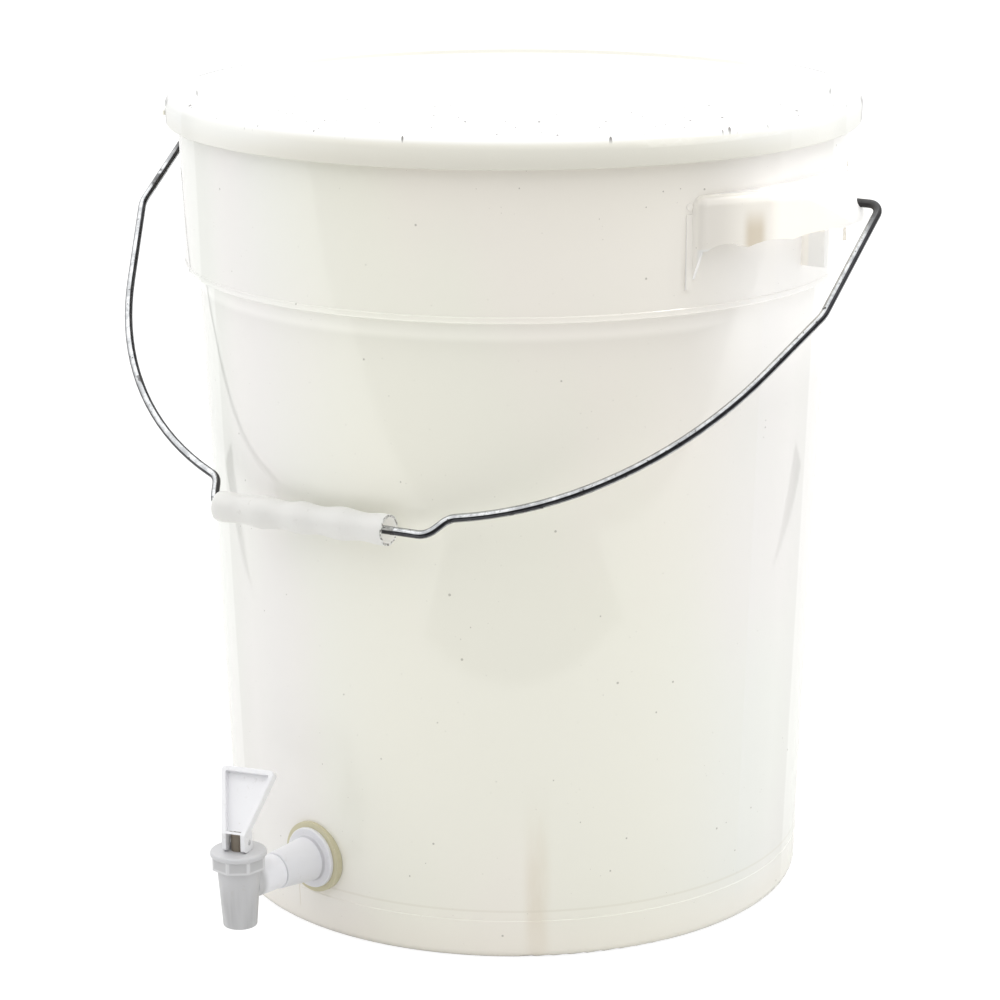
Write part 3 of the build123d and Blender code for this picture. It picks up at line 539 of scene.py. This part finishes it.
# ---------------------------------------------------------------- metals
def plated_wire():
    """Polished plated wire with fine grey streaks, a painted dark shade at its outline, a painted dark
    reflection in a band along it, and black corrosion spots that gather near its ends.
    """
    material, tree, surface = new_material("plated_wire")
    here = place(tree)
    tone = noise(tree, here, scale=160.0, detail=4.0, roughness=0.7)
    colour = colour_mix(tree, smooth(tree, tone, 0.35, 0.65), WIRE_DARK, WIRE_LIGHT)
    # Painted shade: darker where the wire turns away from the view.
    facing = add(tree, "ShaderNodeLayerWeight", {"Blend": 0.5}).outputs["Facing"]
    colour = colour_mix(tree, smooth(tree, facing, 0.45, 0.85), colour, WIRE_PAINTED_EDGE_SHADE)
    # Painted reflection: a dark band where the wire's surface turns part way towards BAIL_FACE.
    upper = dot(tree, add(tree, "ShaderNodeTexCoord").outputs["Normal"], BAIL_FACE)
    dark_reflection = times(tree, smooth(tree, upper, 0.86, 0.78), smooth(tree, upper, -0.10, 0.0), 0.93)
    colour = colour_mix(tree, dark_reflection, colour, WIRE_PAINTED_DARK_REFLECTION)

    spots = smooth(tree, noise(tree, here, scale=420.0, detail=3.0, roughness=0.65), 0.64, 0.67)
    patches = smooth(tree, noise(tree, here, scale=45.0, detail=3.0, roughness=0.6), 0.62, 0.66)
    ends = smooth(tree, parts_of(tree, here)[2], *BAIL_ENDS)
    black = largest(tree, times(tree, spots, 0.9), times(tree, patches, 0.7), times(tree, ends, 0.93))
    set_inputs(tree, surface, {
        "Base Color": colour_mix(tree, black, colour, WIRE_CORROSION),
        "Metallic": minus(tree, 1.0, times(tree, black, 0.7)),
        "Roughness": smooth(tree, largest(tree, black, tone), 0.4, 1.0, 0.08, 0.55),
        "Normal": bumped(tree, calc(tree, "ADD", tone, black), 0.00004),
    })
    return material


def spring_steel():
    """Bright drawn steel."""
    material, tree, surface = new_material("spring_steel")
    tone = noise(tree, place(tree), scale=800.0)
    set_inputs(tree, surface, {
        "Base Color": colour_mix(tree, tone, STEEL_DARK, STEEL_LIGHT),
        "Metallic": 1.0,
        "Roughness": smooth(tree, tone, 0.3, 0.7, 0.2, 0.35),
    })
    return material


# Painted light and shade: the tap body, lock nut and bonnet take a darker copy of the white plastic for the
# shade on their fronts, and the handle a lighter copy for the light on its paddle.
tap_white = moulded("tap_plastic", (0.56, 0.56, 0.575, 1), (0.61, 0.61, 0.625, 1), 0.28, 0.42)
tap_arm_shade(tap_white)
handle_white = moulded("handle_plastic", (0.83, 0.83, 0.85, 1), (0.88, 0.88, 0.90, 1), 0.28, 0.42)
bonnet_white = moulded("bonnet_plastic", (0.57, 0.57, 0.585, 1), (0.62, 0.62, 0.635, 1), 0.28, 0.42)
painted_facet_light_and_shade(bonnet_white)
shank_white = moulded("shank_plastic", (0.77, 0.77, 0.80, 1), (0.82, 0.82, 0.85, 1), 0.28, 0.42)
flange_shade(shank_white)
grip_white = moulded("grip_plastic", (0.72, 0.715, 0.69, 1), (0.78, 0.775, 0.75, 1), 0.30, 0.48)
subsurface_and_painted_bore_glow(grip_white)
stained = moulded("stem_plastic", (0.14, 0.115, 0.085, 1), (0.27, 0.23, 0.18, 1), 0.4, 0.6)
silicone = moulded("yellowed_silicone", (0.56, 0.52, 0.34, 1), (0.65, 0.61, 0.44, 1), 0.3, 0.5)
foam = moulded("lid_seal", (0.72, 0.71, 0.66, 1), (0.80, 0.79, 0.75, 1), 0.6, 0.8)
steel = spring_steel()

FINISH = {
    "bucket": pail_plastic(),
    "lid": lid_plastic(),
    "lid_gasket": foam,
    "bail_wire": plated_wire(),
    "bail_grip": grip_white,
    "tap_shank": shank_white,
    "outer_gasket": silicone,
    "inner_gasket": silicone,
    "lock_nut": tap_white,
    "tap_body": tap_white,
    "tap_oring": silicone,
    "tap_bonnet": bonnet_white,
    "tap_stem": stained,
    "tap_seat_cup": silicone,
    "tap_spring": steel,
    "tap_handle": handle_white,
    "tap_handle_pin": steel,
}
for name, material in FINISH.items():
    nodes[name].data.materials.clear()
    nodes[name].data.materials.append(material)


# ---------------------------------------------------------------- stage, light and camera
def wedge(tree, right, near, apex, base):
    """One inside a thin triangle on the floor that starts at the apex and widens towards the base."""
    step = (base[0] - apex[0], base[1] - apex[1])
    length = math.hypot(*step)
    step_right, step_near = (part / length for part in step)
    from_right = minus(tree, right, apex[0])
    from_near = minus(tree, near, apex[1])
    along = calc(tree, "ADD", times(tree, from_right, step_right), times(tree, from_near, step_near))
    off = minus(tree, times(tree, from_right, step_near), times(tree, from_near, step_right))
    half_width = times(tree, along, ROOM_GAP_HALF_WIDTH / length)
    inside = smooth(tree, minus(tree, half_width, calc(tree, "ABSOLUTE", off)), -0.004, 0.004)
    return times(tree, inside, calc(tree, "LESS_THAN", along, length))


def room_on_floor(tree):
    """One where the pail mirrors the dark room past the white table's edge and two dark gaps beside it."""
    right, near = camera_axes(tree)
    notch_left, notch_right = TABLE_NOTCH
    notch = times(tree, calc(tree, "GREATER_THAN", right, notch_left),
                  calc(tree, "LESS_THAN", right, notch_right))
    slant = times(tree, largest(tree, minus(tree, right, TABLE_SLANT_START), 0.0), TABLE_SLANT)
    table_end = calc(tree, "ADD", calc(tree, "ADD", slant, TABLE_END), times(tree, notch, -TABLE_NOTCH_DEPTH))
    dark = smooth(tree, minus(tree, near, table_end), -0.005, 0.01)
    for apex, base in ROOM_GAPS:
        dark = largest(tree, dark, wedge(tree, right, near, apex, base))
    return dark


def make_floor():
    """Pale floor disc: pure white to the camera, and with the room's dark patches in the reflections."""
    mesh = bpy.data.meshes.new("floor")
    ring = [(FLOOR_RADIUS * math.cos(turn), FLOOR_RADIUS * math.sin(turn), 0.0)
            for turn in (2 * math.pi * step / FLOOR_CORNERS for step in range(FLOOR_CORNERS))]
    mesh.from_pydata(ring, [], [range(FLOOR_CORNERS)])
    floor = bpy.data.objects.new("floor", mesh)
    bpy.context.scene.collection.objects.link(floor)
    material, tree, surface = new_material("pale_floor")
    path = add(tree, "ShaderNodeLightPath").outputs
    mirrored = times(tree, path["Is Glossy Ray"], room_on_floor(tree))
    lit = colour_mix(tree, mirrored, FLOOR_LIT, FLOOR_ROOM)
    set_inputs(tree, surface, {
        "Base Color": colour_mix(tree, path["Is Camera Ray"], lit, FLOOR_SEEN),
        "Emission Color": WHITE,
        "Emission Strength": times(tree, path["Is Camera Ray"], FLOOR_SEEN_GLOW),
        "Roughness": 0.9,
        "Specular IOR Level": 0.1,
    })
    mesh.materials.append(material)


def make_world():
    """White surroundings: a bright ceiling and sides, and a dim side behind the camera, black in mirrors."""
    world = bpy.data.worlds.new("studio")
    bpy.context.scene.world = world
    world.use_nodes = True
    tree = world.node_tree
    direction = add(tree, "ShaderNodeTexCoord").outputs["Generated"]
    upward = parts_of(tree, direction)[2]
    front = dot(tree, direction, (math.sin(CAMERA_AZIMUTH), -math.cos(CAMERA_AZIMUTH), 0.0))
    around = smooth(tree, front, 0.0, 0.9, 0.86, 0.28)
    above = smooth(tree, upward, 0.2, 0.8, 0.0, 0.9)
    path = add(tree, "ShaderNodeLightPath").outputs
    mirrored = times(tree, path["Is Glossy Ray"], smooth(tree, front, -0.1, 0.4))
    mirror_level = smooth(tree, upward, 0.16, 0.26, 0.03, 1.3)
    level = value_mix(tree, mirrored, calc(tree, "ADD", around, above), mirror_level)
    set_inputs(tree, tree.nodes["Background"], {
        "Strength": value_mix(tree, path["Is Camera Ray"], level, 1.0),
        "Color": WHITE,
    })


def make_light(name, azimuth, distance, height, target, size, power):
    """Soft square light at an azimuth counted as the camera's is, aimed at a height on the pail's axis."""
    data = bpy.data.lights.new(name, "AREA")
    data.shape = "SQUARE"
    data.size = size
    data.energy = power
    light = bpy.data.objects.new(name, data)
    bpy.context.scene.collection.objects.link(light)
    angle = math.radians(azimuth)
    light.location = (math.sin(angle) * distance, -math.cos(angle) * distance, height)
    light.rotation_mode = "QUATERNION"
    light.rotation_quaternion = (light.location - Vector((0, 0, target))).to_track_quat("Z", "Y")
    light.visible_camera = False


def make_camera():
    """Camera from the front right and a little above, with the whole pail in a square frame."""
    data = bpy.data.cameras.new("camera")
    data.lens = CAMERA_LENS
    data.sensor_width = SENSOR_WIDTH
    camera = bpy.data.objects.new("camera", data)
    bpy.context.scene.collection.objects.link(camera)
    turn = Matrix.Rotation(CAMERA_AZIMUTH + CAMERA_YAW, 4, "Z")
    tilt = Matrix.Rotation(CAMERA_TILT, 4, "X")
    roll = Matrix.Rotation(CAMERA_ROLL, 4, "Z")
    spot = Vector((math.sin(CAMERA_AZIMUTH), -math.cos(CAMERA_AZIMUTH), 0)) * CAMERA_DISTANCE
    spot.z = CAMERA_HEIGHT
    camera.matrix_world = Matrix.Translation(spot) @ turn @ tilt @ roll
    bpy.context.scene.camera = camera


make_floor()
make_world()
make_light("ear_light", azimuth=118.0, distance=0.38, height=0.74, target=0.36, size=0.20, power=0.6)
make_light("left_softbox", azimuth=-45.0, distance=1.8, height=0.65, target=0.20, size=0.9, power=1.2)
make_camera()
bpy.context.scene.view_settings.view_transform = "Standard"

bpy.context.view_layer.update()
